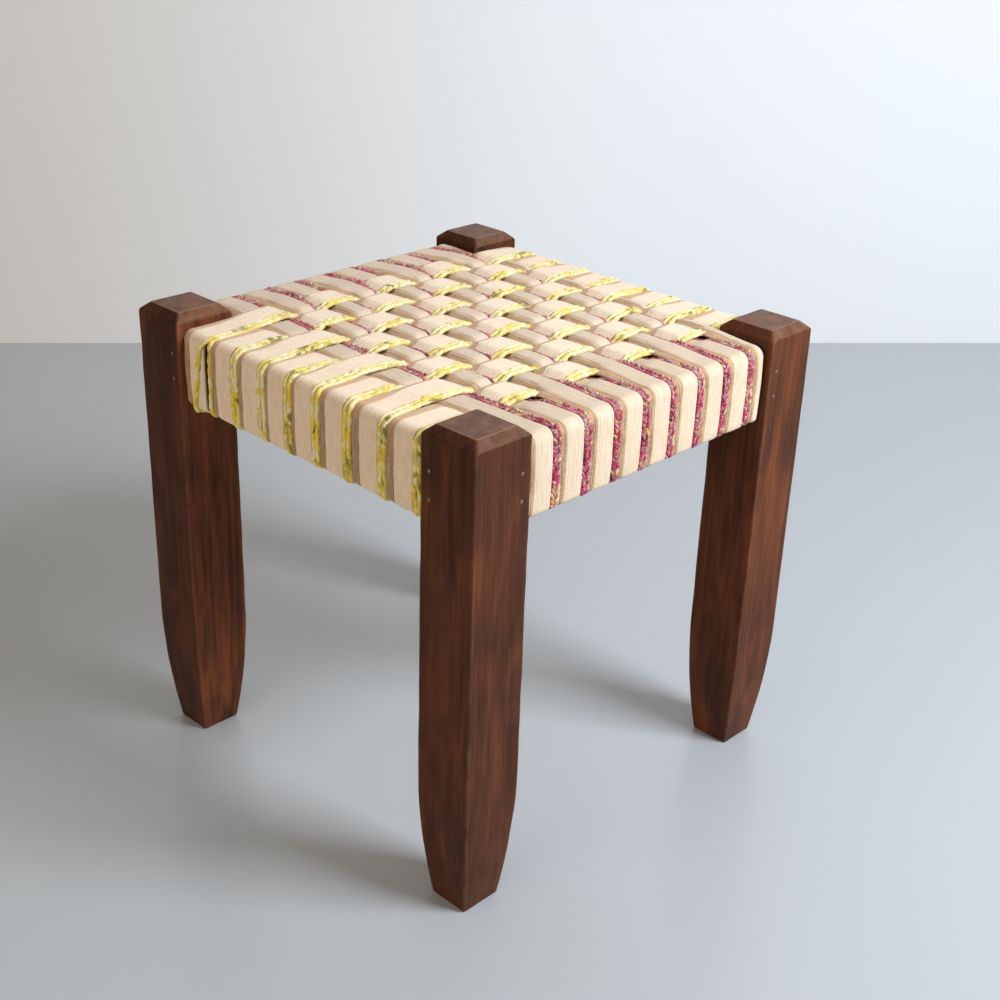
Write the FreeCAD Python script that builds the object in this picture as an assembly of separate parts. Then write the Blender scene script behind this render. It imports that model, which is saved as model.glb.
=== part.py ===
import FreeCAD, Part
import math
import os

# A square stool: four posts, four rails mortised into them, and a seat of cord
# bands wound round the rails and woven one over, one under.
# Millimetres. +Z is up and the origin is on the floor under the middle of the
# stool. The front is -Y. Warp bands run front to back, weft bands left to right.

# Overall stool
stool_height = 430.0
post_spacing_x = 364.0
post_spacing_y = 358.0

# Posts
post_width = 58.0
post_foot_width = 38.5
post_taper_height = 130.0
post_chamfer_width = 8.5
post_chamfer_height = 7.5
post_corner_ease = 1.2

# Rails and their joints
rail_thickness = 28.0
rail_height = 60.0
rail_edge_radius = 4.0
tenon_thickness = 12.0
tenon_height = 44.0
tenon_length = 21.0
tenon_clearance = 0.15
mortise_end_clearance = 1.0

# Pins that lock the tenons
pin_diameter = 3.0
pin_spacing = 23.0
pin_inset = 9.5
pin_grip = 3.0
pin_clearance = 0.08

# Woven seat
seat_drop = 12.0
band_recess = 6.0
band_thickness = 5.0
layer_clearance = 0.3
strand_clearance = 0.2
weave_turn_clearance = 0.3

# Warp bands: cream cords with a pair of yellow strands on the +X side
warp_count = 8
warp_cream_width = 21.5
warp_strand_width = 5.4
warp_margin = 1.1
warp_end_margin = 4.1

# Weft bands: cream cords with a pair of magenta strands on the +Y side
weft_count = 8
weft_cream_width = 20.2
weft_strand_width = 5.2
weft_last_cream_width = 7.2
weft_margin = 5.1
weft_end_margin = 3.7

# How far a cutting body reaches past what it cuts
cut_overrun = 5.0

# Places worked out from the sizes above
post_half = post_width / 2
post_x = post_spacing_x / 2
post_y = post_spacing_y / 2
outer_x = post_x + post_half
outer_y = post_y + post_half
inner_x = post_x - post_half
inner_y = post_y - post_half
seat_top = stool_height - seat_drop
rail_top = seat_top - band_thickness - layer_clearance
rail_bottom = rail_top - rail_height
rail_middle = (rail_top + rail_bottom) / 2
rail_recess = band_recess + band_thickness + layer_clearance
weave_drop = band_thickness + layer_clearance


def vector(x, y, z):
    return FreeCAD.Vector(x, y, z)


def block(low, high):
    """Box between two corners, each an (x, y, z) tuple."""
    size = [high[i] - low[i] for i in range(3)]
    return Part.makeBox(size[0], size[1], size[2], vector(*low))


def save(shape, name):
    shape.exportStep(os.path.join("parts", name + ".step"))
    print(name, "solids", len(shape.Solids), "valid", shape.isValid(), "volume", round(shape.Volume))


def turned(shape, quarter_turns):
    """The shape turned about the Z axis through the origin."""
    copy = shape.copy()
    copy.rotate(vector(0, 0, 0), vector(0, 0, 1), 90 * quarter_turns)
    return copy


def post_profile(scale, ease):
    """Side view of a post: arcs at the foot, straight sides, chamfered head.

    Every half width is scaled and then drawn in by the ease, so that the same
    outline serves for the flat sides and, seen corner on, for the eased corners.
    """
    foot_half = post_foot_width / 2
    taper = post_half - foot_half
    radius = (post_taper_height ** 2 + taper ** 2) / (2 * taper)
    half_angle = math.asin(post_taper_height / radius) / 2
    middle_half = post_half - radius * (1 - math.cos(half_angle))
    middle_z = post_taper_height - radius * math.sin(half_angle)
    chamfer_z = stool_height - post_chamfer_height
    head_half = post_half - post_chamfer_width

    def side(sign):
        foot = vector(sign * (scale * foot_half - ease), 0, 0)
        middle = vector(sign * (scale * middle_half - ease), 0, middle_z)
        shoulder = vector(sign * (scale * post_half - ease), 0, post_taper_height)
        corner = vector(sign * (scale * post_half - ease), 0, chamfer_z)
        head = vector(sign * (scale * head_half - ease), 0, stool_height)
        arc = Part.Arc(foot, middle, shoulder).toShape()
        return foot, head, [arc, Part.makeLine(shoulder, corner), Part.makeLine(corner, head)]

    left_foot, left_head, left_edges = side(-1)
    right_foot, right_head, right_edges = side(1)
    base = Part.makeLine(left_foot, right_foot)
    top = Part.makeLine(left_head, right_head)
    edges = Part.__sortEdges__([base, top] + left_edges + right_edges)
    return Part.Face(Part.Wire(edges))


def post_blank():
    """A post on the Z axis: its four side views crossed, two square on and two corner on."""
    solid = None
    for scale, ease, turns in ((1, 0, 0), (1, 0, 1), (math.sqrt(2), post_corner_ease, 0.5),
                               (math.sqrt(2), post_corner_ease, 1.5)):
        view = post_profile(scale, ease).extrude(vector(0, 2 * post_width, 0))
        view.translate(vector(0, -post_width, 0))
        view = turned(view, turns)
        solid = view if solid is None else solid.common(view)
    return solid.removeSplitter().Solids[0]


def rail_place(axis):
    """Half length between the posts, and the middle line's distance from the centre."""
    if axis == "x":
        return inner_x, outer_y - rail_recess - rail_thickness / 2
    return inner_y, outer_x - rail_recess - rail_thickness / 2


def along(axis, run, side, height):
    """A point from its run along a rail, its distance to the side, and its height."""
    if axis == "x":
        return (run, side, height)
    return (side, run, height)


def span_block(axis, run, side, height):
    """Box from three (low, high) pairs: along the rail, to the side, and up."""
    low = along(axis, run[0], side[0], height[0])
    high = along(axis, run[1], side[1], height[1])
    return block(low, high)


def pin_rod(axis, end, sign, height, radius, reach):
    """One pin through a post and the tenon in it. reach lengthens both its ends."""
    half_length, middle = rail_place(axis)
    outer = outer_y if axis == "x" else outer_x
    depth = outer - middle + tenon_thickness / 2 + pin_grip
    start = along(axis, end * (half_length + pin_inset), sign * (outer + reach), height)
    direction = along(axis, 0, -sign, 0)
    return Part.makeCylinder(radius, depth + 2 * reach, vector(*start), vector(*direction))


def pin_heights():
    return [rail_middle - pin_spacing / 2, rail_middle + pin_spacing / 2]


def pin_group(axis, sign, radius, reach):
    """The four pins of one rail, two in each of its tenons."""
    rods = []
    for end in (-1, 1):
        for height in pin_heights():
            rods.append(pin_rod(axis, end, sign, height, radius, reach))
    return rods


def tenon_blocks(axis, sign, clearance, end_clearance):
    """The two tenons of one rail, or with clearances the mortises that take them."""
    half_length, middle = rail_place(axis)
    half_thickness = tenon_thickness / 2 + clearance
    half_height = tenon_height / 2 + clearance
    side = (sign * middle - half_thickness, sign * middle + half_thickness)
    height = (rail_middle - half_height, rail_middle + half_height)
    reach = half_length + tenon_length + end_clearance
    root = half_length - rail_edge_radius
    return [
        span_block(axis, (root, reach), side, height),
        span_block(axis, (-reach, -root), side, height),
    ]


def make_rail(axis, sign):
    """One rail: a round-edged bar between the posts, with a pinned tenon at each end."""
    half_length, middle = rail_place(axis)
    side = (sign * middle - rail_thickness / 2, sign * middle + rail_thickness / 2)
    bar = span_block(axis, (-half_length, half_length), side, (rail_bottom, rail_top))
    long_edges = [edge for edge in bar.Edges if edge.Length > rail_height + rail_edge_radius]
    rail = bar.makeFillet(rail_edge_radius, long_edges)
    for tenon in tenon_blocks(axis, sign, 0, 0):
        rail = rail.fuse(tenon)
    for hole in pin_group(axis, sign, pin_diameter / 2 + pin_clearance, cut_overrun):
        rail = rail.cut(hole)
    return rail.removeSplitter()


def post_cuts():
    """Every mortise and pin hole in the four posts."""
    cuts = []
    for axis in ("x", "y"):
        for sign in (-1, 1):
            cuts += tenon_blocks(axis, sign, tenon_clearance, mortise_end_clearance)
            cuts += pin_group(axis, sign, pin_diameter / 2 + pin_clearance, 0)
    return cuts


# The bands share the room between the posts. A groove goes before each of them.
warp_width = warp_cream_width + 2 * (warp_strand_width + strand_clearance)
weft_width = weft_cream_width + 2 * (weft_strand_width + strand_clearance)
warp_room = 2 * inner_x - warp_margin - warp_end_margin - warp_count * warp_width
weft_room = 2 * inner_y - weft_margin - weft_end_margin - weft_count * weft_width - weft_last_cream_width
warp_groove = warp_room / warp_count
weft_groove = weft_room / (weft_count + 1)


def band_spans(first, groove, widths):
    """The two sides of each band, from bands of these widths with a groove before each."""
    spans = []
    edge = first
    for width in widths:
        spans.append((edge + groove, edge + groove + width))
        edge += groove + width
    return spans


warp_spans = band_spans(warp_margin - inner_x, warp_groove, [warp_width] * warp_count)
weft_spans = band_spans(weft_margin - inner_y, weft_groove, [weft_width] * weft_count + [weft_last_cream_width])


def weave_path(crossed, parity, rail_inside):
    """Points (run, drop) of a band's top run over and under the bands it crosses.

    The band is level with the rails where it lies over a crossed band, and one
    weave_drop lower where it lies under. It changes level in the gap between two
    crossed bands, or just inside the rail.
    """
    points = []
    level = 0
    last_end = -rail_inside
    for number, (low, high) in enumerate(crossed):
        wanted = 0 if (number + parity) % 2 == 0 else weave_drop
        if wanted != level:
            points.append((last_end + weave_turn_clearance, level))
            points.append((low - weave_turn_clearance, wanted))
            level = wanted
        last_end = high
    if level:
        points.append((last_end + weave_turn_clearance, level))
        points.append((rail_inside - weave_turn_clearance, 0))
    return points


def loop_outline(half_run, half_height, radius, path):
    """Closed wire in the XZ plane: round corners, the path on top and mirrored below."""
    edges = []
    diagonal = radius * (1 - math.sqrt(0.5))

    def corner(run_sign, height_sign):
        side = vector(run_sign * half_run, 0, height_sign * (half_height - radius))
        middle = vector(run_sign * (half_run - diagonal), 0, height_sign * (half_height - diagonal))
        level = vector(run_sign * (half_run - radius), 0, height_sign * half_height)
        edges.append(Part.Arc(side, middle, level).toShape())
        return side, level

    ends = {}
    for height_sign in (-1, 1):
        left_side, left_level = corner(-1, height_sign)
        right_side, right_level = corner(1, height_sign)
        run = [left_level]
        run += [vector(s, 0, height_sign * (half_height - drop)) for s, drop in path]
        run.append(right_level)
        edges += [Part.makeLine(run[i], run[i + 1]) for i in range(len(run) - 1)]
        ends[height_sign] = (left_side, right_side)
    for index in (0, 1):
        edges.append(Part.makeLine(ends[-1][index], ends[1][index]))
    return Part.Wire(Part.__sortEdges__(edges))


def band_solid(half_run, path, width):
    """A closed belt of the given width round two rails, from Y zero to +Y."""
    half_height = rail_height / 2 + layer_clearance + band_thickness
    inner_radius = rail_edge_radius + layer_clearance
    outer = loop_outline(half_run, half_height, inner_radius + band_thickness, path)
    inner = loop_outline(half_run - band_thickness, half_height - band_thickness, inner_radius, path)
    face = Part.Face(outer).cut(Part.Face(inner)).Faces[0]
    return face.extrude(vector(0, width, 0)).Solids[0]


def placed_band(direction, half_run, path, start, width):
    """A belt moved to its place. Warp belts are turned to run along Y."""
    belt = band_solid(half_run, path, width)
    if direction == "weft":
        belt.translate(vector(0, start, rail_middle))
        return belt
    belt = turned(belt, 1)
    belt.translate(vector(start + width, 0, rail_middle))
    return belt


def make_bands(direction, spans, crossed, cream_width, strand_width, half_run, rail_inside, stranded):
    """Cream belts and, on the first bands, the pairs of coloured strands beside them."""
    for number, (low, high) in enumerate(spans):
        path = weave_path(crossed, number if direction == "warp" else number + 1, rail_inside)
        name = direction + "_band_" + str(number + 1)
        if number >= stranded:
            save(placed_band(direction, half_run, path, low, high - low), name)
            continue
        save(placed_band(direction, half_run, path, low, cream_width), name)
        step = strand_width + strand_clearance
        first = low + cream_width + strand_clearance
        pair = [placed_band(direction, half_run, path, first + i * step, strand_width) for i in range(2)]
        save(Part.makeCompound(pair), direction + "_strands_" + str(number + 1))


os.makedirs("parts", exist_ok=True)

# Posts
blank = post_blank()
cuts = post_cuts()
post_names = {
    (-1, -1): "post_front_left",
    (1, -1): "post_front_right",
    (-1, 1): "post_back_left",
    (1, 1): "post_back_right",
}
for (side_x, side_y), name in post_names.items():
    post = blank.copy()
    post.translate(vector(side_x * post_x, side_y * post_y, 0))
    for cut in cuts:
        if cut.BoundBox.intersect(post.BoundBox):
            post = post.cut(cut)
    save(post, name)

# Rails and their pins
rail_names = {("x", -1): "front", ("x", 1): "back", ("y", -1): "left", ("y", 1): "right"}
for (axis, sign), name in rail_names.items():
    save(make_rail(axis, sign), "rail_" + name)
    save(Part.makeCompound(pin_group(axis, sign, pin_diameter / 2, 0)), "pins_" + name)

# Seat bands
make_bands("warp", warp_spans, weft_spans, warp_cream_width, warp_strand_width,
           outer_y - band_recess, outer_y - rail_recess - rail_thickness, warp_count)
make_bands("weft", weft_spans, warp_spans, weft_cream_width, weft_strand_width,
           outer_x - band_recess, outer_x - rail_recess - rail_thickness, weft_count)
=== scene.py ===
"""Dresses the frame of a square stool: stained posts, and a seat woven from cotton cords and strands."""

import math

import bpy
import numpy as np
from bpy.props import FloatProperty, FloatVectorProperty, PointerProperty
from mathutils import Matrix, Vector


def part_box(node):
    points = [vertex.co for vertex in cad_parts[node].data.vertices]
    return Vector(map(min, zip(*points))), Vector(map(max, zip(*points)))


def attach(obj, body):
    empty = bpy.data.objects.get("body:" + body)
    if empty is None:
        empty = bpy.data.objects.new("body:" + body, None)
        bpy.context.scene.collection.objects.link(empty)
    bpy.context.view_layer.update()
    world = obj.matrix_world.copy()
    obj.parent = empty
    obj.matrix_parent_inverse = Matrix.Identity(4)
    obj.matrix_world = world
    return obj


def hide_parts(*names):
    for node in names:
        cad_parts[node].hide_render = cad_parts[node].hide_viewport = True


bl_info = {
    "name": "Woven seat stool",
    "version": (1, 0, 0),
    "blender": (4, 5, 0),
    "location": "3D View > Sidebar > Stool",
    "description": "Stained hardwood posts and a seat of cotton cords and fabric strands",
    "category": "Add Mesh",
}

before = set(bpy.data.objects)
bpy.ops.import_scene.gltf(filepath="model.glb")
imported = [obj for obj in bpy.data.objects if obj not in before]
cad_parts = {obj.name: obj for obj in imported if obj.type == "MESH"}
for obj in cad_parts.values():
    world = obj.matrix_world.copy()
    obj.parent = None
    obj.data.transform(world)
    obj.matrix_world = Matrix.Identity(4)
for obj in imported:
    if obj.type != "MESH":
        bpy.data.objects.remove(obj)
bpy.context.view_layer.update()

MM = 0.001
TURN = 2 * math.pi

# Posts, in the shape of their frame pieces
FOOT_WIDTH = 38.5 * MM
TAPER_HEIGHT = 130 * MM
HEAD_CHAMFER_WIDTH = 8.5 * MM
HEAD_CHAMFER_HEIGHT = 7.5 * MM
RIDGE_EASE = 1.2 * MM
CORNER_WEAR = 0.2 * MM
FACE_WAVE = 0.05 * MM
FACE_WAVES = 14
CAP_SHARE = 0.8

# Rows up a post and stations round it
ARC_STATIONS = 60
RIDGE_STATIONS = 7
ROW_STEP = 3.0 * MM
RIDGE_STEP = 0.5 * MM
RIDGE_REACH = 2.5 * MM
CORNER_STATIONS = 6
FACE_STATIONS = 12

# How worn the wood is on the corners, on the ridges of foot, chamfer and top, and over the head and its
# chamfers, and how far from an edge that reaches. Over the head the lighter wood is painted sheen as well as
# wear, and on the chamfers toward the window it is painted light as well as wear
CORNER_WEAR_SHARE = 0.54
RIDGE_WEAR_SHARES = (0.5, 0.3, 1.5)
HEAD_WEAR_AND_SHEEN_SHARE = 0.8
CHAMFER_WEAR_AND_LIGHT_SHARE = 0.72
WEAR_REACH = 1.1 * MM

# Shares of the wood's tone: broad patches, streaks and fine lines
PATCH_SHARE = 0.48
STREAK_SHARE = 0.30
LINE_SHARE = 0.22

# Each post's own tone; how much lighter and redder its faces toward the window (+X, +Y) are painted than
# those away from it, as painted light; and how much more those faces show their streaks, also as painted
# light
POST_TONES = {"front_left": (-0.025, 0.08, 0.30), "front_right": (-0.05, 0.015, 0.04),
              "back_left": (-0.06, 0.03, 0), "back_right": (0.0, 0.015, 0)}

# Pegs that lock the rails' tenons
PEG_RADIUS = 1.5 * MM
PEG_DOME = 0.35 * MM
PEG_DOME_ANGLE = 1.35
PEG_DOME_STATIONS = 6
PEG_SIDES = 16

# Belts of cord, wound round two rails
BELT_BEND = 9.3 * MM
BELT_FOOT_BEND = 5.5 * MM
BELT_BULGE = 1.5 * MM

# The row of cords on a band's face. A cord is fuller than its pitch, so that it presses into the next one. A
# warp's cords spread where the band rises, and the -Y or -X ones lie a little lower.
CORD_FULLNESS = {"warp": 1.35, "weft": 1.8}
BAND_SPREAD = {"warp": 2.4 * MM, "weft": 0}
EDGE_DROP = 0.45 * MM
EDGE_POWER = 6
SPREAD_POWER = 1.3

# The lower cords in the groove before a band, each a little deeper than the one nearer to the band
GROOVE_CORDS = 5
GROOVE_PITCH = 1.9 * MM
GROOVE_CORD_RADIUS = 1.3 * MM
GROOVE_DEPTH = 0.6 * MM
GROOVE_SLOPE = 0.25 * MM
GROOVE_TUCK_SLOPE = {"warp": 0.5 * MM, "weft": 0}
GROOVE_WOBBLE_RATIO = 2.6

# The flat layer under a band's cords
UNDERLAY_TOP = 2.7 * MM
UNDERLAY_BASE = 4.7 * MM
UNDERLAY_INSET = 1.2 * MM
UNDERLAY_REACH = 8.5 * MM

# How far a band rises over, and sinks under, the bands that it crosses
WARP_OVER = 2.6 * MM
WARP_UNDER = -3.1 * MM
WARP_STEP = 18 * MM
WARP_STEP_LEAD = 0.5 * MM
WEFT_OVER = 2.2 * MM
WEFT_UNDER = -4.2 * MM
WEFT_STEP = 17 * MM
WEFT_STEP_LEAD = 3.0 * MM
FIRST_WEFT_OVER = 0.3 * MM
RAIL_RISE = 40 * MM
RAIL_DIP = 16 * MM
RAIL_DIP_OFFSET = 4 * MM

# The bands don't lie quite straight. The wefts slant to the back from right to left, and bow apart.
WEFT_SLANT = 10 * MM
WEFT_BOW = 2.5 * MM
WEFT_SPREAD = 1.5 * MM
WEFT_MIDDLE = 5
WEFT_RETURN_START = 160 * MM
WEFT_RETURN = 45 * MM
WEFT_RETURN_SHARE = 0.35
WARP_INNER_DRIFT = 3.5 * MM
WARP_INNER_REACH = 133 * MM
WARP_FRONT_DRIFT = 2.0 * MM
WARP_FRONT_DIP = 7.5 * MM
WARP_FRONT_CENTRE = 25 * MM
WARP_FRONT_REACH = 70 * MM
WARP_DRIFT_START = 100 * MM
WARP_DRIFT_LENGTH = 60 * MM

# Inside the weave a weft is drawn together: its -Y cords and strands move in, roll over the edge and sink. A
# band narrower than GATHER_CORD_COUNT cords is drawn together less.
GATHER_RUN = 22 * MM
GATHER_INSET = 9 * MM
GATHER_CORD_COUNT = 8
GATHER_CORDS = 4.6 * MM
GATHER_ROLL = 1.2 * MM
GATHER_STRANDS = 1.2 * MM
STRAND_GATHER_DEPTH = 1.5 * MM
GROOVE_GATHER = 5.0 * MM
GROOVE_GATHER_DEPTH = 2.0 * MM
GROOVE_GATHER_SLOPE = 0.55 * MM
UNDERLAY_GATHER_DEPTH = 4.5 * MM

# Strands of two plies. The yellow ones stand up from the cords, except where their band rises.
YELLOW_SHARE = 0.9
YELLOW_RISE = 1.0 * MM
YELLOW_SINK = 0.9 * MM
MAGENTA_SHARE = 0.95
STRAND_WOBBLE = 0.3 * MM
TWIST_UNEVENNESS = 1.5
PLY_UNEVENNESS = 0.14

# One strand of the first warp has slipped across its cords on the front, fast at the start of its fall
SLIP = 15 * MM
SLIP_START = 3 * MM
SLIP_START_RATE = 6
SLIP_LIFT = 2.6 * MM
SLIP_RETURN = 60 * MM

# Sizes of a strand's print, and how far each strand of a pair is shifted along its row of colours
SPECK_SIZE = 2.2 * MM
PATCH_LENGTH = 22 * MM
STRAND_TONES = {"warp": (0.15, 0.15), "weft": (0.13, 0.28)}

# Painted light makes the seat's top paler, between these two heights, toward these colours
TOP_LIGHT_FROM = 405 * MM
TOP_LIGHT_TO = 419 * MM
STRAND_TOP_LIGHT = "#FBF1C8"
CREAM_TOP_LIGHT = "#F9E4D2"
CREAM_TOP_LIGHT_SHARE = 0.35
GROOVE_TOP_LIGHT = "#FFD9B2"
GROOVE_TOP_LIGHT_SHARE = 0.42

# Stations along a belt
FINE_STEP = 1.9 * MM
COARSE_STEP = 5.0 * MM
YELLOW_STEP = 1.5 * MM
MAGENTA_STEP = 1.0 * MM
STEP_REACH = 8.0 * MM
BEND_STATIONS = 9
SIDE_STATIONS = 9
CORD_SIDES = 6
PLY_SIDES = 6

# How much further along each band's pattern starts than the last one's, and each cord's and each ply's
PATTERN_STEP = 173 * MM
CORD_PATTERN_STEP = 0.37
PLY_PATTERN_STEP = 0.41

# Stage: the camera, the wall and the line where the floor meets it, and the two lamps
CAMERA_PLACE = (894.7 * MM, -898.5 * MM, 857.4 * MM)
CAMERA_AZIMUTH = math.radians(43.6807)
CAMERA_ELEVATION = math.radians(25.7372)
CAMERA_ROLL = math.radians(1.9963)
CAMERA_LENS = 54.5
SENSOR_WIDTH = 36.0
WALL_TURN = math.radians(49.52)
WALL_DISTANCE = 1104 * MM
WALL_HEIGHT = 3.0
WALL_SHADE_START = -0.9
WALL_SHADE_END = 0.2
STAGE_SPAN = 14.0
WINDOW_PLACE = (1.70, 0.55, 1.55)
WINDOW_SIZE = 0.9
FILL_PLACE = (0.2, -2.4, 0.7)
FILL_SIZE = 1.8


def linear(hex_colour):
    """Linear red, green and blue of an sRGB hex colour such as #C8A27A."""
    channels = [int(hex_colour[place:place + 2], 16) / 255 for place in (1, 3, 5)]
    return tuple(c / 12.92 if c <= 0.04045 else ((c + 0.055) / 1.055) ** 2.4 for c in channels)


def node_box(name):
    """Lowest and highest corner of a frame piece, as two arrays."""
    low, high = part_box(name)
    return np.array(low), np.array(high)


def smooth_step(value):
    """0 below 0, 1 above 1, and 3t^2 - 2t^3 between."""
    share = np.clip(value, 0, 1)
    return share * share * (3 - 2 * share)


def wander(phase, rows, seed, slowest, fastest):
    """Smooth random curves of size about one, one per row, that meet themselves at the end of a loop.

    Each is a sum of sine waves with whole numbers of turns, slowest to fastest, as phase goes from 0 to 1.
    """
    random = np.random.default_rng(seed)
    turns = np.arange(slowest, fastest + 1)[None, :, None]
    size = random.normal(size=(rows, turns.size, 1)) * math.sqrt(2 / turns.size)
    start = random.uniform(0, TURN, size=(rows, turns.size, 1))
    return (size * np.sin(TURN * turns * phase[None, None, :] + start)).sum(1)


def spaced(start, stop, marks, reach, fine, coarse):
    """Places from start to stop, the fine step apart within reach of a mark and the coarse step elsewhere."""
    line = np.linspace(start, stop, 4000)
    near = np.min(np.abs(line[:, None] - np.asarray(marks)[None, :]), axis=1) < reach
    density = np.where(near, 1 / fine, 1 / coarse)
    count = np.concatenate([[0], np.cumsum((density[1:] + density[:-1]) / 2 * np.diff(line))])
    wanted = np.linspace(0, count[-1], int(round(count[-1])) + 1)
    return np.interp(wanted, count, line)


def torus_skin(points, along, around, offset, material):
    """A closed skin on a grid of points (tubes, rings, sides) that wraps in both directions.

    along is the length at each ring, with the whole loop's length last, around is the width of one side, and
    offset is how much further along each tube's pattern starts than the last one's.
    """
    tubes, rings, sides = points.shape[:3]
    tube, ring, side = np.meshgrid(np.arange(tubes), np.arange(rings), np.arange(sides), indexing="ij")

    def corner(next_ring, next_side):
        """Index of a face's corner and its place along and around, one ring or side on where that is 1."""
        index = (tube * rings + (ring + next_ring) % rings) * sides + (side + next_side) % sides
        u = along[ring + next_ring] + offset * (tube + 1)
        v = (side + next_side) * around
        return index, np.stack([u, v + np.zeros_like(u)], axis=-1)

    corners = [corner(0, 0), corner(0, 1), corner(1, 1), corner(1, 0)]
    quads = np.stack([index for index, uv in corners], axis=-1).reshape(-1, 4)
    uvs = np.stack([uv for index, uv in corners], axis=-2).reshape(-1, 4, 2)
    return {"points": points.reshape(-1, 3), "quads": quads, "uvs": uvs, "caps": [], "material": material}


def capped_skin(points, material):
    """A skin on a grid of points (rings, sides), closed round its sides, with a flat cap on each end ring."""
    rings, sides = points.shape[:2]
    ring, side = np.meshgrid(np.arange(rings - 1), np.arange(sides), indexing="ij")
    after = (side + 1) % sides
    quads = np.stack([ring * sides + side, ring * sides + after, (ring + 1) * sides + after,
                      (ring + 1) * sides + side], axis=-1).reshape(-1, 4)
    first_cap = np.arange(sides)[::-1]
    last_cap = (rings - 1) * sides + np.arange(sides)
    uvs = np.zeros((len(quads), 4, 2))
    return {"points": points.reshape(-1, 3), "quads": quads, "uvs": uvs, "caps": [first_cap, last_cap],
            "material": material}


def faces_outward(skin):
    """The skin with its faces turned round if the volume that they enclose comes out negative."""
    p = skin["points"][skin["quads"]]
    volume = np.einsum("ij,ij->", p[:, 0], np.cross(p[:, 1] - p[:, 0], p[:, 2] - p[:, 0]))
    volume += np.einsum("ij,ij->", p[:, 0], np.cross(p[:, 2] - p[:, 0], p[:, 3] - p[:, 0]))
    if volume > 0:
        return skin
    turned = dict(skin)
    turned["quads"] = skin["quads"][:, ::-1]
    turned["uvs"] = skin["uvs"][:, ::-1]
    turned["caps"] = [cap[::-1] for cap in skin["caps"]]
    return turned


def make_piece(name, skins, materials, replaced, marks=None):
    """A smooth mesh of these skins that rides on the frame in place of the frame pieces that it replaces."""
    corners = []
    uvs = []
    sizes = []
    material_indexes = []
    first = 0
    for skin in map(faces_outward, skins):
        corners.append((skin["quads"] + first).ravel())
        uvs.append(skin["uvs"].reshape(-1, 2))
        sizes += [4] * len(skin["quads"])
        for cap in skin["caps"]:
            corners.append(cap + first)
            uvs.append(np.zeros((len(cap), 2)))
            sizes.append(len(cap))
        material_indexes += [skin["material"]] * (len(skin["quads"]) + len(skin["caps"]))
        first += len(skin["points"])
    points = np.concatenate([skin["points"] for skin in skins])
    corners = np.concatenate(corners)
    starts = np.concatenate([[0], np.cumsum(sizes)[:-1]])
    mesh = bpy.data.meshes.new(name)
    mesh.vertices.add(len(points))
    mesh.vertices.foreach_set("co", points.astype(np.float32).ravel())
    mesh.loops.add(len(corners))
    mesh.loops.foreach_set("vertex_index", corners.astype(np.int32))
    mesh.polygons.add(len(sizes))
    mesh.polygons.foreach_set("loop_start", starts.astype(np.int32))
    mesh.polygons.foreach_set("material_index", np.array(material_indexes, np.int32))
    mesh.polygons.foreach_set("use_smooth", np.ones(len(sizes), bool))
    layer = mesh.uv_layers.new(name="Along")
    layer.uv.foreach_set("vector", np.concatenate(uvs).astype(np.float32).ravel())
    for mark, values in (marks or {}).items():
        mesh.attributes.new(mark, "FLOAT", "POINT").data.foreach_set("value", values.astype(np.float32))
    mesh.update(calc_edges=True)
    if mesh.validate():
        raise RuntimeError(name + " has a face that the mesh can't hold")
    for material in materials:
        mesh.materials.append(material)
    piece = bpy.data.objects.new(name, mesh)
    bpy.context.scene.collection.objects.link(piece)
    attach(piece, "root")
    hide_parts(*replaced)


# Materials

def add(tree, kind, values=None, links=None, stops=None, **settings):
    """A node with its settings, socket values, links from (node, output) pairs, and a ramp's colour stops."""
    node = tree.nodes.new(kind)
    for key, value in settings.items():
        setattr(node, key, value)
    for socket, value in (values or {}).items():
        node.inputs[socket].default_value = value
    for socket, (source, output) in (links or {}).items():
        tree.links.new(source.outputs[output], node.inputs[socket])
    if stops:
        elements = node.color_ramp.elements
        while len(elements) < len(stops):
            elements.new(1.0)
        for element, (place, colour) in zip(elements, stops):
            element.position = place
            element.color = (*colour, 1)
    return node


def new_material(name, **sockets):
    """A material with one Principled shader, whose constant sockets are set on it."""
    material = bpy.data.materials.new(name)
    material.use_nodes = True
    tree = material.node_tree
    shader = tree.nodes["Principled BSDF"]
    for socket, value in sockets.items():
        shader.inputs[socket.replace("_", " ")].default_value = value
    return material, tree, shader


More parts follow.
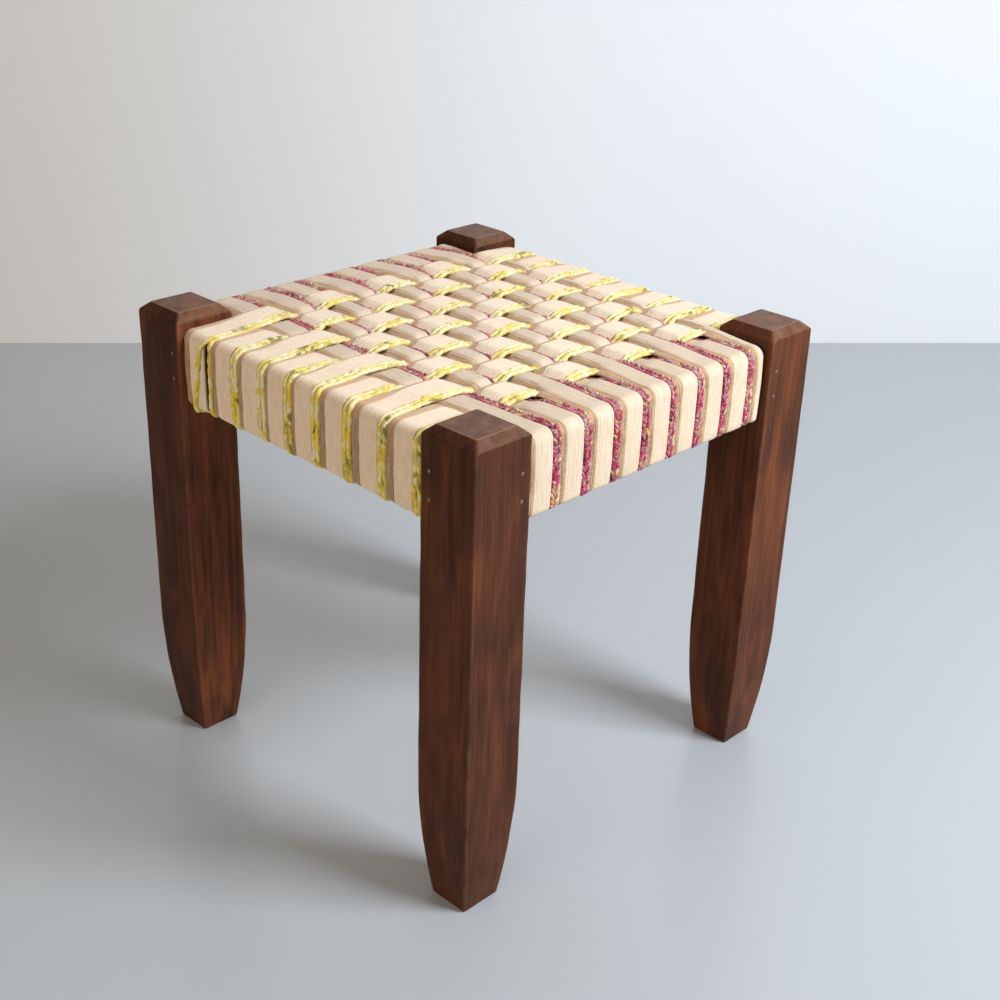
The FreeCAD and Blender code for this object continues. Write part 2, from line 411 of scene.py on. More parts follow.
def wood_material(name, settings, grain_axis, worn):
    """Hardwood, planed, stained dark and varnished satin.

    It gives the eye a deep red-brown that drifts between darker and redder wood in broad patches, soft
    streaks and fine lines along the grain, short dark pores, and greyer wood where edges have rubbed and tops
    have worn. The greyer heads are also painted sheen, and the lighter faces and chamfers toward the window
    are painted light.
    """
    material, tree, shader = new_material(name, Specular_IOR_Level=0.05)
    place = add(tree, "ShaderNodeTexCoord")

    def grain(width, length, **values):
        """Noise drawn out along the grain, of this width and length in the wood."""
        scale = [1 / (length if axis == grain_axis else width) for axis in range(3)]
        at = add(tree, "ShaderNodeMapping", {"Scale": scale}, {"Vector": (place, "Object")})
        return add(tree, "ShaderNodeTexNoise", {"Scale": 1.0, **values}, {"Vector": (at, "Vector")})

    patch = grain(24 * MM, 100 * MM, Detail=2.0, Distortion=0.8)
    streak = grain(5.5 * MM, 170 * MM, Detail=3.0, Roughness=0.55, Distortion=0.5)
    line = grain(1.3 * MM, 60 * MM, Detail=3.0)
    pore = grain(0.8 * MM, 14 * MM, Detail=2.0)
    tone = add(tree, "ShaderNodeAttribute", attribute_name="Tone")
    # Extra share of streaks on the faces toward the window: the grain is real, its strength there is painted
    # light
    lit_figure = add(tree, "ShaderNodeAttribute", attribute_name="LitFigure")
    summed = (tone, "Fac")
    for source, share in ((patch, PATCH_SHARE), (streak, STREAK_SHARE), (line, LINE_SHARE)):
        total = add(tree, "ShaderNodeMath", {1: share}, {0: (source, "Fac"), 2: summed},
                    operation="MULTIPLY_ADD")
        summed = (total, 0)
    centred = add(tree, "ShaderNodeMath", {1: 0.5}, {0: (streak, "Fac")}, operation="SUBTRACT")
    figured = add(tree, "ShaderNodeMath", links={0: (centred, 0), 1: (lit_figure, "Fac"), 2: summed},
                  operation="MULTIPLY_ADD")
    summed = (figured, 0)
    colour = add(tree, "ShaderNodeValToRGB", links={"Fac": summed}, stops=[
        (0.34, settings.dark_stain), (0.50, settings.stain), (0.66, settings.red_stain)])
    pore_mask = add(tree, "ShaderNodeMapRange", {"From Min": 0.60, "From Max": 0.72, "To Max": 0.5},
                    {"Value": (pore, "Fac")})
    finished = add(tree, "ShaderNodeMix", {7: (*settings.dark_stain[:], 1)},
                   {0: (pore_mask, 0), 6: (colour, "Color")}, data_type="RGBA")
    if worn:
        scuff = grain(8.0 * MM, 20 * MM, Detail=3.0)
        nick = grain(2.5 * MM, 6 * MM, Detail=4.0)
        # This mark holds real wear, and also painted sheen over the heads and painted light on the chamfers
        # toward the window
        rubbed_and_lit = add(tree, "ShaderNodeAttribute", attribute_name="WearAndLight")
        evened = add(tree, "ShaderNodeMath", {1: 0.5, 2: 0.25}, {0: (scuff, "Fac")}, operation="MULTIPLY_ADD")
        product = add(tree, "ShaderNodeMath", links={0: (rubbed_and_lit, "Fac"), 1: (evened, 0)},
                      operation="MULTIPLY")
        rubbed_and_lit_mask = add(tree, "ShaderNodeMapRange", {"From Min": 0.2, "From Max": 0.60, "To Max": 0.7},
                          {"Value": (product, 0)})
        nick_mask = add(tree, "ShaderNodeMapRange", {"From Min": 0.72, "From Max": 0.78, "To Max": 0.5},
                        {"Value": (nick, "Fac")})
        mask = add(tree, "ShaderNodeMath", links={0: (rubbed_and_lit_mask, 0), 1: (nick_mask, 0)},
                   operation="MAXIMUM")
        finished = add(tree, "ShaderNodeMix", {7: (*settings.worn_and_lit_wood[:], 1)},
                       {0: (mask, 0), 6: (finished, 2)}, data_type="RGBA")
    tree.links.new(finished.outputs[2], shader.inputs["Base Color"])
    gloss = add(tree, "ShaderNodeMapRange",
                {"From Min": 0.3, "From Max": 0.7, "To Min": 0.30, "To Max": 0.42},
                {"Value": (streak, "Fac")})
    tree.links.new(gloss.outputs[0], shader.inputs["Roughness"])
    bump = add(tree, "ShaderNodeBump", {"Strength": 0.5, "Distance": 0.12 * MM}, {"Height": (pore, "Fac")},
               invert=True)
    tree.links.new(bump.outputs[0], shader.inputs["Normal"])
    return material


def peg_material(settings):
    """Pale hardwood dowel, cut flush and varnished over: small dull buff dots that stand out on the stain."""
    fleck_size = 0.8 * MM
    material, tree, shader = new_material("PaleDowelVarnished", Roughness=0.5)
    place = add(tree, "ShaderNodeTexCoord")
    fleck_place = add(tree, "ShaderNodeMapping", {"Scale": [1 / fleck_size] * 3},
                      {"Vector": (place, "Object")})
    fleck = add(tree, "ShaderNodeTexNoise", {"Scale": 1.0, "Detail": 2.0},
                {"Vector": (fleck_place, "Vector")})
    colour = add(tree, "ShaderNodeValToRGB", links={"Fac": (fleck, "Fac")}, stops=[
        (0.35, settings.stain), (0.6, settings.peg)])
    tree.links.new(colour.outputs[0], shader.inputs["Base Color"])
    return material


def on_top(tree, share):
    """A node that rises from 0 at the seat's edge to share on its top, where painted light makes the seat
    paler.
    """
    place = add(tree, "ShaderNodeTexCoord")
    height = add(tree, "ShaderNodeSeparateXYZ", links={0: (place, "Object")})
    return add(tree, "ShaderNodeMapRange", {"From Min": TOP_LIGHT_FROM, "From Max": TOP_LIGHT_TO, "To Max": share},
               {"Value": (height, 2)})


def cord_material(name, light, darker, top_light, top_light_share):
    """Undyed cotton cord, spun and laid in plies: a soft matt cream, a little soiled in blotches.

    The lay of the plies is drawn 1.5 mm apart, coarser than it is, so that it shows. On top of the seat the
    cotton is painted paler, toward the colour top_light, as painted light.
    """
    lay = 1.5 * MM
    blotch = 18 * MM
    fibre_length = 2.5 * MM
    fibre_width = 0.5 * MM
    material, tree, shader = new_material(name, Roughness=0.9, Sheen_Weight=0.25, Sheen_Roughness=0.5,
                                          Specular_IOR_Level=0.2)
    along = add(tree, "ShaderNodeUVMap", uv_map="Along")
    blotch_place = add(tree, "ShaderNodeMapping", {"Scale": (1 / blotch, 1 / blotch, 1)},
                       {"Vector": (along, 0)})
    soil = add(tree, "ShaderNodeTexNoise", {"Scale": 1.0, "Detail": 3.0},
               {"Vector": (blotch_place, "Vector")})
    fibre_place = add(tree, "ShaderNodeMapping", {"Scale": (1 / fibre_length, 1 / fibre_width, 1)},
                      {"Vector": (along, 0)})
    fibre = add(tree, "ShaderNodeTexNoise", {"Scale": 1.0, "Detail": 2.0},
                {"Vector": (fibre_place, "Vector")})
    tone = add(tree, "ShaderNodeMath", links={0: (soil, "Fac"), 1: (fibre, "Fac")}, operation="ADD")
    colour = add(tree, "ShaderNodeMapRange", {"From Min": 0.75, "From Max": 1.15}, {"Value": (tone, 0)})
    # The darker colour is soil on the cream cords, and painted shade as well as soil on the lower cords
    mixed = add(tree, "ShaderNodeMix", {6: (*darker[:], 1), 7: (*light[:], 1)}, {0: (colour, 0)},
                data_type="RGBA")
    # Painted light: the cotton on the seat's top is mixed paler
    lit_on_top = add(tree, "ShaderNodeMix", {7: (*linear(top_light), 1)},
                   {0: (on_top(tree, top_light_share), 0), 6: (mixed, 2)}, data_type="RGBA")
    tree.links.new(lit_on_top.outputs[2], shader.inputs["Base Color"])
    lay_place = add(tree, "ShaderNodeMapping", {"Scale": (1 / lay, 1 / lay, 1)}, {"Vector": (along, 0)})
    plies = add(tree, "ShaderNodeTexWave", {"Scale": 1 / TURN * 2, "Distortion": 1.0},
                {"Vector": (lay_place, 0)}, bands_direction="DIAGONAL")
    relief = add(tree, "ShaderNodeMath", links={0: (plies, "Fac"), 1: (fibre, "Fac")}, operation="ADD")
    bump = add(tree, "ShaderNodeBump", {"Strength": 0.4, "Distance": 0.12 * MM}, {"Height": (relief, 0)})
    tree.links.new(bump.outputs[0], shader.inputs["Normal"])
    return material


def strand_material(name, stops, fleck_length, fleck_width, softness, relief, top_light_share, speck):
    """Strand of torn printed fabric, twisted: flecks of the cloth's colours, longer than they are wide.

    Cells of random colour follow the strand, more or less softened into each other, and the stops give each
    colour its share of them, which drifts along the strand. On top of the seat the strand is painted paler in
    patches, by top_light_share at most, as painted light, and the print's small dark specks have the colour
    speck.
    """
    material, tree, shader = new_material(name, Roughness=0.8, Sheen_Weight=0.2, Sheen_Roughness=0.4,
                                          Specular_IOR_Level=0.2)
    along = add(tree, "ShaderNodeUVMap", uv_map="Along")
    place = add(tree, "ShaderNodeMapping", {"Scale": (1 / fleck_length, 1 / fleck_width, 1)},
                {"Vector": (along, 0)})
    fray = add(tree, "ShaderNodeTexNoise", {"Scale": 2.2, "Detail": 2.0}, {"Vector": (place, "Vector")})
    frayed = add(tree, "ShaderNodeMix", {0: 0.3}, {4: (place, "Vector"), 5: (fray, "Color")},
                 data_type="VECTOR")
    cells = add(tree, "ShaderNodeTexVoronoi", {"Scale": 1.0, "Smoothness": softness}, {"Vector": (frayed, 1)},
                voronoi_dimensions="2D", feature="SMOOTH_F1")
    parts = add(tree, "ShaderNodeSeparateColor", links={0: (cells, "Color")})
    patch_place = add(tree, "ShaderNodeMapping", {"Scale": (1 / PATCH_LENGTH, 1 / PATCH_LENGTH, 1)},
                      {"Vector": (along, 0)})
    patch = add(tree, "ShaderNodeTexNoise", {"Scale": 1.0, "Detail": 1.0},
                {"Vector": (patch_place, "Vector")})
    drawn = add(tree, "ShaderNodeMapRange",
                {"From Min": 0.35, "From Max": 0.65, "To Min": -0.2, "To Max": 0.2},
                {"Value": (patch, "Fac")})
    picked = add(tree, "ShaderNodeMath", {1: 0.7}, {0: (parts, 0), 2: (drawn, 0)}, operation="MULTIPLY_ADD")
    tone = add(tree, "ShaderNodeAttribute", attribute_name="Tone")
    centred = add(tree, "ShaderNodeMath", links={0: (picked, 0), 1: (tone, "Fac")}, operation="ADD")
    colour = add(tree, "ShaderNodeValToRGB", links={"Fac": (centred, 0)}, stops=stops)
    patchy = add(tree, "ShaderNodeMapRange", {"From Min": 0.32, "From Max": 0.62, "To Min": 0.1},
                 {"Value": (patch, "Fac")})
    # Painted light: the strand on the seat's top is mixed paler, in patches
    top_lighting = add(tree, "ShaderNodeMath", links={0: (on_top(tree, top_light_share), 0), 1: (patchy, 0)},
                 operation="MULTIPLY")
    top_lit_colour = add(tree, "ShaderNodeMix", {7: (*linear(STRAND_TOP_LIGHT), 1)}, {0: (top_lighting, 0), 6: (colour, 0)},
                data_type="RGBA")
    speck_place = add(tree, "ShaderNodeMapping", {"Scale": [1 / SPECK_SIZE] * 3}, {"Vector": (along, 0)})
    specks = add(tree, "ShaderNodeTexNoise", {"Scale": 1.0, "Detail": 1.0},
                 {"Vector": (speck_place, "Vector")})
    speck_mask = add(tree, "ShaderNodeMapRange", {"From Min": 0.73, "From Max": 0.76, "To Max": 0.85},
                     {"Value": (specks, "Fac")})
    printed = add(tree, "ShaderNodeMix", {7: (*speck, 1)}, {0: (speck_mask, 0), 6: (top_lit_colour, 2)},
                  data_type="RGBA")
    tree.links.new(printed.outputs[2], shader.inputs["Base Color"])
    bump = add(tree, "ShaderNodeBump", {"Strength": relief, "Distance": 0.4 * MM},
               {"Height": (cells, "Distance")}, invert=True)
    tree.links.new(bump.outputs[0], shader.inputs["Normal"])
    return material


# Posts

def post_rows(half, height):
    """Half width and height of the rings up a post: out along the foot, up its arc and side, over the head.

    The outline is a chain of straight runs and one arc. Each ring's place is the mean of the outline over a
    short stretch either side, which rounds every ridge. Also gives each ring's distance along the outline,
    and the distances of the three ridges.
    """
    foot = FOOT_WIDTH / 2
    taper = half - foot
    radius = (TAPER_HEIGHT ** 2 + taper ** 2) / (2 * taper)
    arc_height = np.linspace(0, TAPER_HEIGHT, ARC_STATIONS)
    arc_half = half - radius + np.sqrt(radius ** 2 - (TAPER_HEIGHT - arc_height) ** 2)
    head = half - HEAD_CHAMFER_WIDTH
    outline_half = np.concatenate([[foot * CAP_SHARE], arc_half, [half, head, head * CAP_SHARE]])
    outline_height = np.concatenate([[0], arc_height, [height - HEAD_CHAMFER_HEIGHT, height, height]])
    steps = np.hypot(np.diff(outline_half), np.diff(outline_height))
    distance = np.concatenate([[0], np.cumsum(steps)])
    ridges = distance[[1, -3, -2]]
    rows = spaced(0, distance[-1], ridges, RIDGE_REACH, RIDGE_STEP, ROW_STEP)
    shifts = np.linspace(-RIDGE_EASE, RIDGE_EASE, RIDGE_STATIONS)
    stretch = np.clip(rows[:, None] + shifts[None, :], 0, distance[-1])
    stretch[0] = 0
    stretch[-1] = distance[-1]
    return (np.interp(stretch, distance, outline_half).mean(1),
            np.interp(stretch, distance, outline_height).mean(1), rows, ridges)


def square_section():
    """Corner signs and outward directions at the stations round a square with eased corners.

    A station stands at (half width - ease) times its corner signs plus ease times its direction. Along a face
    the signs go from one corner's to the next, and round a corner the direction turns by a quarter.
    """
    signs = []
    directions = []
    for quarter in range(4):
        angle = TURN / 4 * (quarter + np.linspace(0, 1, CORNER_STATIONS))
        diagonal = TURN / 4 * (quarter + 0.5)
        corner = np.sign([math.cos(diagonal), math.sin(diagonal)])
        following = np.sign([math.cos(diagonal + TURN / 4), math.sin(diagonal + TURN / 4)])
        signs.append(np.tile(corner, (CORNER_STATIONS, 1)))
        directions.append(np.stack([np.cos(angle), np.sin(angle)], axis=1))
        share = np.linspace(0, 1, FACE_STATIONS + 2)[1:-1, None]
        signs.append(corner * (1 - share) + following * share)
        directions.append(np.tile(directions[-1][-1], (FACE_STATIONS, 1)))
    return np.concatenate(signs), np.concatenate(directions)


def ripples(rows, stations, seed):
    """A smooth random field of size about one on rows up a post and stations round it.

    It is a sum of sine waves, each with whole turns round the post and its own slow climb, over the square
    root of half their number.
    """
    random = np.random.default_rng(seed)
    height = np.linspace(0, 1, rows)[:, None]
    around = np.linspace(0, 1, stations, endpoint=False)[None, :]
    field = np.zeros((rows, stations))
    for _ in range(FACE_WAVES):
        climbs = random.uniform(1, 9)
        turns = random.integers(-6, 7)
        field += np.sin(TURN * (climbs * height + turns * around) + random.uniform(0, TURN))
    return field / math.sqrt(FACE_WAVES / 2)


def post_skin(low, high, ease, seed, tone, window_light, lit_figure):
    """A post's skin, with the wear, the tone and the extra share of streaks of the wood at each point.

    Each ring of the post is a square section whose corners' ease wanders up the post, and whose faces ripple
    within the frame piece's box. Wear is greatest on the corners and ridges, and falls off as a bell curve.
    Over the head the lighter wood is painted sheen as well as wear. The tone is the post's own, with painted
    light that makes the faces toward the window lighter and redder; those faces show their streaks more, as
    painted light, and their chamfers are lighter, as painted light as well as wear.
    """
    centre = (low + high) / 2
    half, height, rows, ridges = post_rows((high[0] - low[0]) / 2, high[2] - low[2])
    signs, directions = square_section()
    phase = np.linspace(0, 1, len(rows))
    worn = wander(phase, 4, seed, 2, 14)
    corner_ease = ease + CORNER_WEAR * np.clip(worn, -1.5, 3).T
    quarter = (np.arange(len(signs)) // (CORNER_STATIONS + FACE_STATIONS)) % 4
    ease_grid = corner_ease[:, quarter]
    ease_grid = ease_grid[:, :, None]
    flat = (half[:, None, None] - ease_grid) * signs[None] + ease_grid * directions[None]
    flat = flat + directions[None] * (FACE_WAVE * ripples(len(rows), len(signs), seed + 1))[:, :, None]
    flat = np.clip(flat, -(high[:2] - low[:2]) / 2, (high[:2] - low[:2]) / 2)
    level = np.broadcast_to(height[:, None, None], flat.shape[:2] + (1,))
    grid = np.concatenate([flat + centre[:2], level], axis=2)
    from_corner = half[:, None] * (1 - np.abs(signs).min(1))[None, :]
    on_ridges = np.array(RIDGE_WEAR_SHARES) * np.exp(-((rows[:, None] - ridges[None, :]) / WEAR_REACH) ** 2)
    wear_and_light = np.maximum(CORNER_WEAR_SHARE * np.exp(-(from_corner / WEAR_REACH) ** 2), on_ridges.max(1)[:, None])
    # Painted sheen, as well as wear, over the head
    wear_and_light = np.maximum(wear_and_light, HEAD_WEAR_AND_SHEEN_SHARE * smooth_step((rows - ridges[-1]) / WEAR_REACH)[:, None])
    toward_window = directions.sum(1)
    lit = np.clip(toward_window, 0, 1)
    on_chamfer = smooth_step((rows - ridges[-2]) / WEAR_REACH)[:, None]
    # Painted light, as well as wear, on the chamfers that face the window
    wear_and_light = np.maximum(wear_and_light, CHAMFER_WEAR_AND_LIGHT_SHARE * on_chamfer * lit)
    # Painted light: the faces toward the window are lighter and redder than the post's own tone
    tones = np.broadcast_to(tone + window_light * toward_window, wear_and_light.shape)
    lit_figures = np.broadcast_to(lit_figure * lit, wear_and_light.shape)
    return capped_skin(grid, 0), {"WearAndLight": wear_and_light.ravel(), "Tone": tones.ravel(), "LitFigure": lit_figures.ravel()}


# Belts

def belt_line(half_run, low, high, marks, fine, coarse, side_step):
    """Stations round a belt seen from the side, starting along the top: run, height, and 1 on the flat runs.

    The line is a rectangle with rounded corners: top run, bend, side, bend, bottom run, bend, side, bend.
    The sides bulge a little, as a sine does.
    """
    flat = half_run - BELT_BEND
    flat_foot = half_run - BELT_FOOT_BEND
    top_run = spaced(-flat, flat, marks, STEP_REACH, fine, coarse)
    bottom_run = spaced(-flat_foot, flat_foot, marks, STEP_REACH, fine, coarse)
    angle = np.linspace(TURN / 4, 0, BEND_STATIONS + 2)[1:-1]
    side_length = high - low - BELT_BEND - BELT_FOOT_BEND
    share = np.linspace(0, 1, max(SIDE_STATIONS, int(side_length / side_step)))
    side_run = half_run + 0 * share
    side_height = high - BELT_BEND - side_length * share
    right_run = np.concatenate([flat + BELT_BEND * np.cos(angle), side_run,
                                flat_foot + BELT_FOOT_BEND * np.cos(angle[::-1])])
    right_height = np.concatenate([high - BELT_BEND + BELT_BEND * np.sin(angle), side_height,
                                   low + BELT_FOOT_BEND - BELT_FOOT_BEND * np.sin(angle[::-1])])
    fall = (high - right_height) / (high - low)
    right_run = right_run + BELT_BULGE * np.sin(fall * TURN / 2) ** 0.5
    run = np.concatenate([top_run, right_run, bottom_run[::-1], -right_run[::-1]])
    height = np.concatenate([np.full(len(top_run), high), right_height, np.full(len(bottom_run), low),
                             right_height[::-1]])
    flatness = np.concatenate([np.ones(len(top_run)), np.zeros(len(right_run)), np.ones(len(bottom_run)),
                               np.zeros(len(right_run))])
    return run, height, flatness


def belt_frame(line, level_of_run, middle):
    """Points and outward directions of a belt whose top and bottom runs rise outward by level_of_run(run).

    The outward direction at a station is square to the line from the station before it to the one after it.
    """
    run, height, flatness = line
    outward = np.where(height > middle, 1.0, -1.0)
    risen = height + flatness * outward * level_of_run(run)
    run_step = np.roll(run, -1) - np.roll(run, 1)
    height_step = np.roll(risen, -1) - np.roll(risen, 1)
    length = np.hypot(run_step, height_step)
    normal_run = -height_step / length
    normal_height = run_step / length
    step = np.hypot(np.diff(np.append(run, run[0])), np.diff(np.append(risen, risen[0])))
    along = np.concatenate([[0], np.cumsum(step)])
    return {"run": run, "height": risen, "normal_run": normal_run, "normal_height": normal_height,
            "along": along, "phase": along[:-1] / along[-1]}


def weave_level(crossed, parity, over, under, step, lead):
    """A function of run that gives a band's level: over or under each crossed band in turn, 0 at the rails.

    Each change of level is a smooth step about the place where a crossed band's strands end.
    """
    levels = [over if (number + parity) % 2 == 0 else under for number in range(len(crossed))]
    rail_lengths = [RAIL_RISE if level > 0 else RAIL_DIP for level in (levels[0], levels[-1])]
    rail_offsets = [RAIL_RISE / 2 if level > 0 else RAIL_DIP_OFFSET for level in (levels[0], levels[-1])]
    places = [crossed[0][0] - rail_offsets[0]]
    places += [span[1] - lead for span in crossed[:-1]]
    places += [crossed[-1][1] + rail_offsets[1]]
    lengths = [rail_lengths[0]] + [step] * (len(crossed) - 1) + [rail_lengths[1]]
    changes = np.diff([0] + levels + [0])

    def level(run):
        """The sum of the changes of level, each times the share of its smooth step that run has passed."""
        share = smooth_step((run[:, None] - np.array(places)) / np.array(lengths) + 0.5)
        return share @ changes

    return level


def band_drift(direction, number, run):
    """How far a band strays across its run from its straight place in the frame, for an array of runs.

    A weft slants by a straight line plus a parabola for its bow, and comes partly back at its far end. A warp
    inside the seat strays with the cube of its distance from the middle, and on the front by a bell curve.
    """
    if direction == "weft":
        half_run = node_box("weft_band_1")[1][0]
        share = np.clip((half_run - run) / (2 * half_run), 0, 1)
        bow = WEFT_BOW - WEFT_SPREAD * (number - WEFT_MIDDLE)
        back = smooth_step((-run - WEFT_RETURN_START) / WEFT_RETURN)
        return (WEFT_SLANT * share - 4 * bow * share * (1 - share)) * (1 - (1 - WEFT_RETURN_SHARE) * back)
    low, high = node_box("warp_band_" + str(number))
    middle = (low[0] + high[0]) / 2
    inner = WARP_INNER_DRIFT * (middle / WARP_INNER_REACH) ** 3
    dip = math.exp(-((middle - WARP_FRONT_CENTRE) / WARP_FRONT_REACH) ** 2)
    front = WARP_FRONT_DRIFT - WARP_FRONT_DIP * dip
    to_front = smooth_step((-run - WARP_DRIFT_START) / WARP_DRIFT_LENGTH)
    to_back = smooth_step((run - WARP_DRIFT_START) / WARP_DRIFT_LENGTH)
    return inner * (1 - to_front - to_back) + front * to_front


def solid_points(direction, run, side, height):
    """Points in space from runs, places across the belt and heights. Warp belts run along Y."""
    run, side, height = np.broadcast_arrays(run, side, height)
    if direction == "warp":
        return np.stack([side, run, height], axis=-1)
    return np.stack([run, side, height], axis=-1)


def tube_points(direction, belt, side, depth, radius, sides):
    """Grid of points of tubes that follow a belt at their own place across it and depth below its face.

    Each ring is a circle in the plane of the belt's width and its outward direction. Side, depth and radius
    are arrays of (tubes, rings).
    """
    angle = TURN * (np.arange(sides) / sides - 0.25)
    out = radius[:, :, None] * np.sin(angle) - depth[:, :, None]
    run = belt["run"][None, :, None] + out * belt["normal_run"][None, :, None]
    height = belt["height"][None, :, None] + out * belt["normal_height"][None, :, None]
    across = side[:, :, None] + radius[:, :, None] * np.cos(angle)
    return solid_points(direction, run, across, height)


def underlay_points(direction, belt, low, high):
    """Grid of points of the flat layer under a band's cords, six-sided, and sunk where the band gathers."""
    corner = (UNDERLAY_BASE - UNDERLAY_TOP) / 2
    side = np.array([low + corner, high - corner, high, high - corner, low + corner, low])
    depth = np.array([UNDERLAY_TOP, UNDERLAY_TOP, UNDERLAY_TOP + corner, UNDERLAY_BASE, UNDERLAY_BASE,
                      UNDERLAY_TOP + corner])
    depth = depth + UNDERLAY_GATHER_DEPTH * belt["gather"][:, None]
    run = belt["run"][:, None] - depth * belt["normal_run"][:, None]
    height = belt["height"][:, None] - depth * belt["normal_height"][:, None]
    return solid_points(direction, run, side[None, :] + belt["drift"][:, None], height)[None]


def band_count(direction):
    """How many bands of the frame run one way."""
    return sum(name.startswith(direction + "_band_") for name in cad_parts)


def crossed_spans(direction, number):
    """(low, high) across each band that this band crosses, from the frame's boxes and that band's drift."""
    other, axis = ("weft", 1) if direction == "warp" else ("warp", 0)
    own_low, own_high = node_box(direction + "_band_" + str(number))
    middle = (own_low[1 - axis] + own_high[1 - axis]) / 2
    spans = []
    for crossing in range(1, 1 + band_count(other)):
        low, high = node_box(other + "_band_" + str(crossing))
        strands = other + "_strands_" + str(crossing)
        last = node_box(strands)[1][axis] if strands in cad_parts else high[axis]
        drift = band_drift(other, crossing, np.array([middle]))[0]
        spans.append((low[axis] + drift, last + drift))
    return spans


def make_belt(direction, number, fine, coarse):
    """The belt frame of a band, from its frame piece's box, and how far it strays and is drawn together."""
    low, high = node_box(direction + "_band_" + str(number))
    run_axis = 1 if direction == "warp" else 0
    crossed = crossed_spans(direction, number)
    parity = number - 1 if direction == "warp" else number
    if direction == "warp":
        level = weave_level(crossed, parity, WARP_OVER, WARP_UNDER, WARP_STEP, WARP_STEP_LEAD)
    else:
        over = FIRST_WEFT_OVER if number == 1 else WEFT_OVER
        level = weave_level(crossed, parity, over, WEFT_UNDER, WEFT_STEP, WEFT_STEP_LEAD)
    marks = [crossed[0][0] - RAIL_DIP_OFFSET] + [span[1] for span in crossed]
    line = belt_line(high[run_axis], low[2], high[2], marks, fine, coarse, max(fine, coarse / 2))
    belt = belt_frame(line, level, (low[2] + high[2]) / 2)
    inner = min(-crossed[0][0], crossed[-1][1])
    gather = smooth_step((inner - GATHER_INSET - np.abs(belt["run"])) / GATHER_RUN + 0.5)
    belt["gather"] = gather if direction == "weft" and number > 1 else 0 * gather
    belt["drift"] = band_drift(direction, number, belt["run"])
    belt["fall"] = np.clip((high[2] - belt["height"]) / (high[2] - low[2]), 0, 1)
    belt["raised"] = smooth_step((belt["height"] - high[2]) / WARP_OVER)
    belt["half_run"] = high[run_axis]
    return belt


def cord_skins(direction, number, settings):
    """The cords of one band: the row on its face, the lower cords in the groove before it, and its underlay.

    share is 0 at the band's -Y or -X edge and 1 at its other edge. A cord's place across the band is share of
    its width, plus the band's drift, a pull toward the other edge where the band is drawn together, a spread
    away from it where the band rises, and a wander of its own. Both the pull and the spread, and the drop at
    the edge, fall off as a power of 1 - share.
    """
    side_axis = 0 if direction == "warp" else 1
    low, high = node_box(direction + "_band_" + str(number))
    start, width = low[side_axis], high[side_axis] - low[side_axis]
    belt = make_belt(direction, number, FINE_STEP, COARSE_STEP)
    phase = belt["phase"]
    count = max(2, int(round(width / settings.cord_pitch)))
    pitch = width / count
    seed = number * 10 + (0 if direction == "warp" else 5)
    share = (np.arange(count) / (count - 1))[:, None]
    gather = belt["gather"][None, :] * min(1, width / (GATHER_CORD_COUNT * settings.cord_pitch))
    drift = belt["drift"][None, :]
    full = pitch / 2 * CORD_FULLNESS[direction]
    raised = belt["raised"][None, :]
    near_share = (1 - share) ** SPREAD_POWER
    edge_share = (1 - share) ** EDGE_POWER
    side = start + full + share * (width - 2 * full) + drift + GATHER_CORDS * gather * near_share
    side = side - BAND_SPREAD[direction] * raised * near_share
    depth = full + EDGE_DROP * edge_share + GATHER_ROLL * gather * edge_share
    side = side + settings.wobble * wander(phase, count, seed, 6, 40)
    depth = depth + 0.5 * settings.wobble * (wander(phase, count, seed + 1, 6, 40) + 0.5)
    radius = np.full((count, len(phase)), full)
    depth = np.maximum(depth, radius)
    cords = tube_points(direction, belt, side, depth, radius, CORD_SIDES)
    around = TURN * pitch / 2 / CORD_SIDES
    groove_side = start - GROOVE_PITCH * (0.5 + np.arange(GROOVE_CORDS))[:, None]
    groove_wander = wander(phase, GROOVE_CORDS, seed + 2, 6, 30)
    groove_side = groove_side + GROOVE_WOBBLE_RATIO * settings.wobble * groove_wander + drift
    groove_side = groove_side + GROOVE_GATHER * gather
    groove_radius = np.full((GROOVE_CORDS, len(phase)), GROOVE_CORD_RADIUS)
    fallen = np.arange(GROOVE_CORDS)[:, None]
    groove_depth = GROOVE_DEPTH + GROOVE_SLOPE * fallen + groove_radius
    groove_depth = groove_depth + (GROOVE_GATHER_DEPTH + GROOVE_GATHER_SLOPE * fallen) * gather
    groove_depth = groove_depth + GROOVE_TUCK_SLOPE[direction] * fallen * raised
    groove = tube_points(direction, belt, groove_side, groove_depth, groove_radius, CORD_SIDES)
    underlay = underlay_points(direction, belt, start - UNDERLAY_REACH, start + width - UNDERLAY_INSET)
    along = belt["along"] + number * PATTERN_STEP
    return [torus_skin(cords, along, around, CORD_PATTERN_STEP, 0),
            torus_skin(groove, along, around, CORD_PATTERN_STEP, 1),
            torus_skin(underlay, along, around, CORD_PATTERN_STEP, 1)]


def slipped(belt):
    """How far a strand has slipped, from 0 at the top of the front to 1 at its foot, and back to 0 below."""
    down_front = np.where(belt["run"] < 0, belt["fall"], 0)
    below = smooth_step((belt["run"] + belt["half_run"]) / SLIP_RETURN)
    return down_front * (1 - below)


